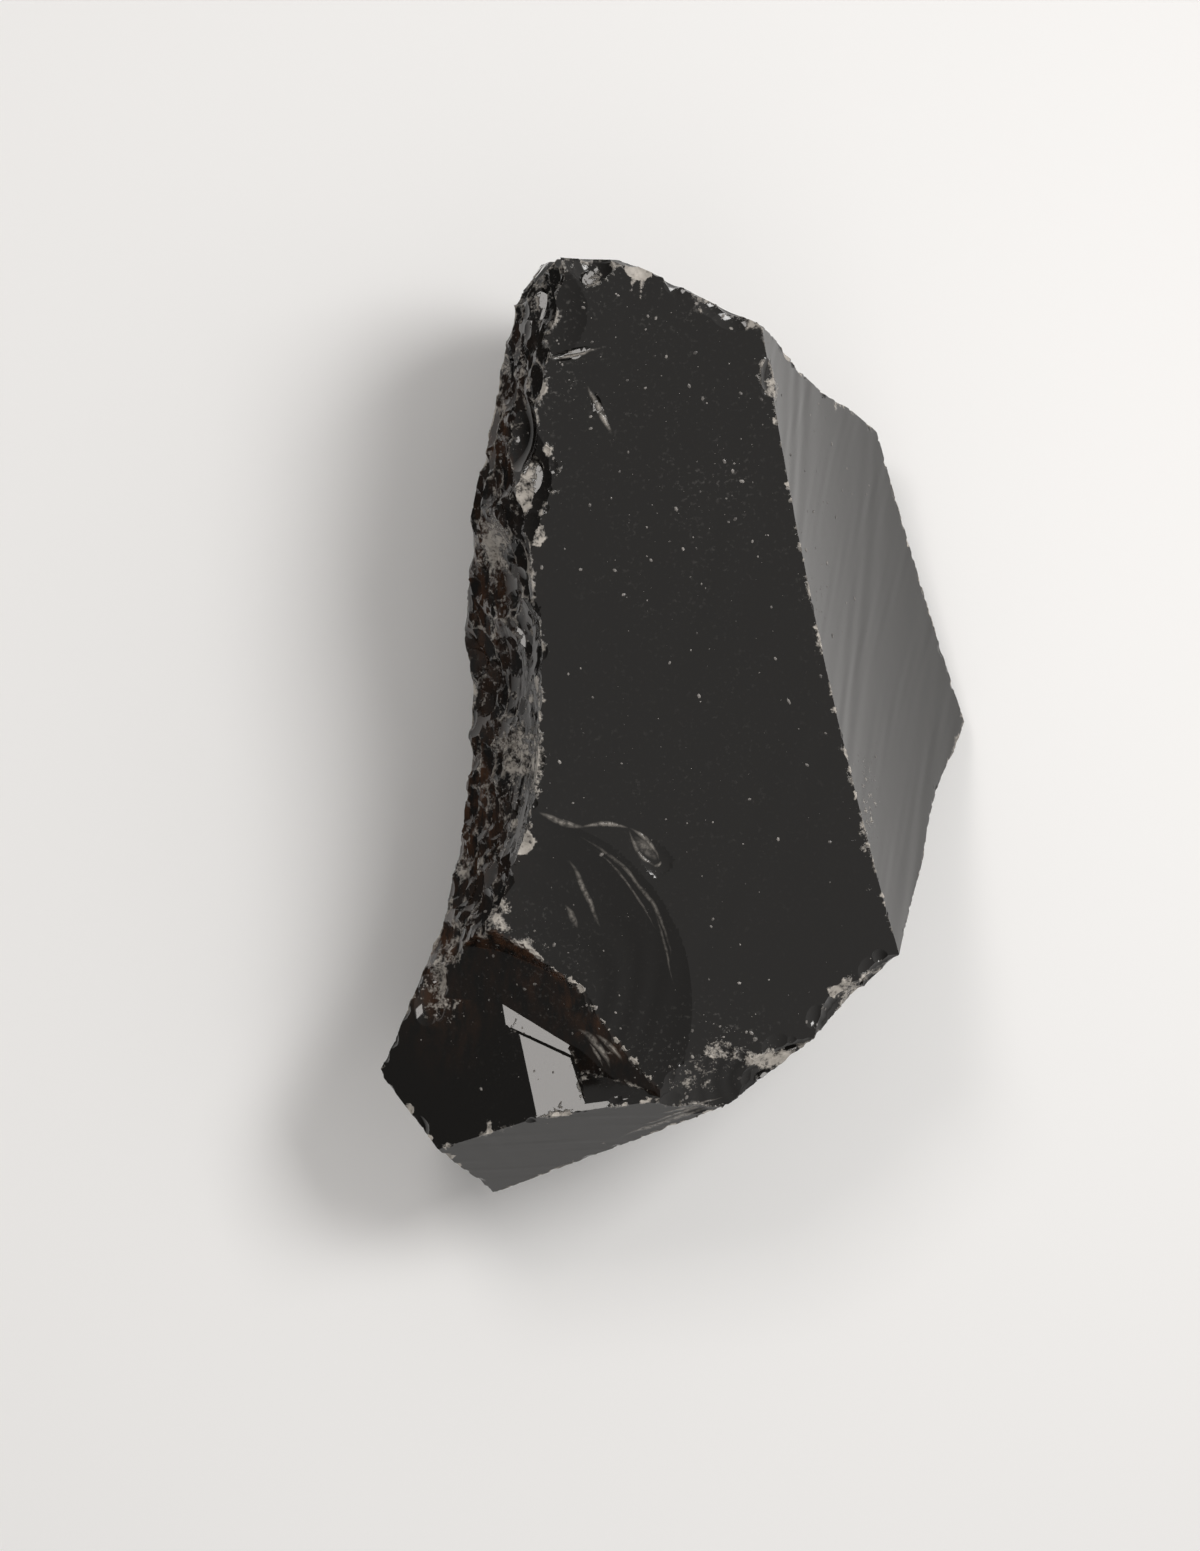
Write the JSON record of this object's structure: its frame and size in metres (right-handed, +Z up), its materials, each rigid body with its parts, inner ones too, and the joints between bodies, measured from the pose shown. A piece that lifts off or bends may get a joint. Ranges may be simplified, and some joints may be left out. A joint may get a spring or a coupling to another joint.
{
  "type": "obsidian chunk",
  "caption": "Hand-sized chip of black volcanic glass with a broad flat front face, a bevelled long side, a hollow scar at one end and knapped edges; lies on its flat back.",
  "frame": {"origin": "middle of the chunk's bounding box, on the plane of the flat back that it lies on", "axes": "+Z up from the flat back to the broad front face, +Y along the chunk's length towards its narrower end, +X towards the bevelled long side"},
  "size_m": [0.0286, 0.0446, 0.0193],
  "materials": {
    "obsidian": "polished"
  },
  "bodies": {
    "root": {"obsidian_chunk": "obsidian"}
  },
  "joints": []
}
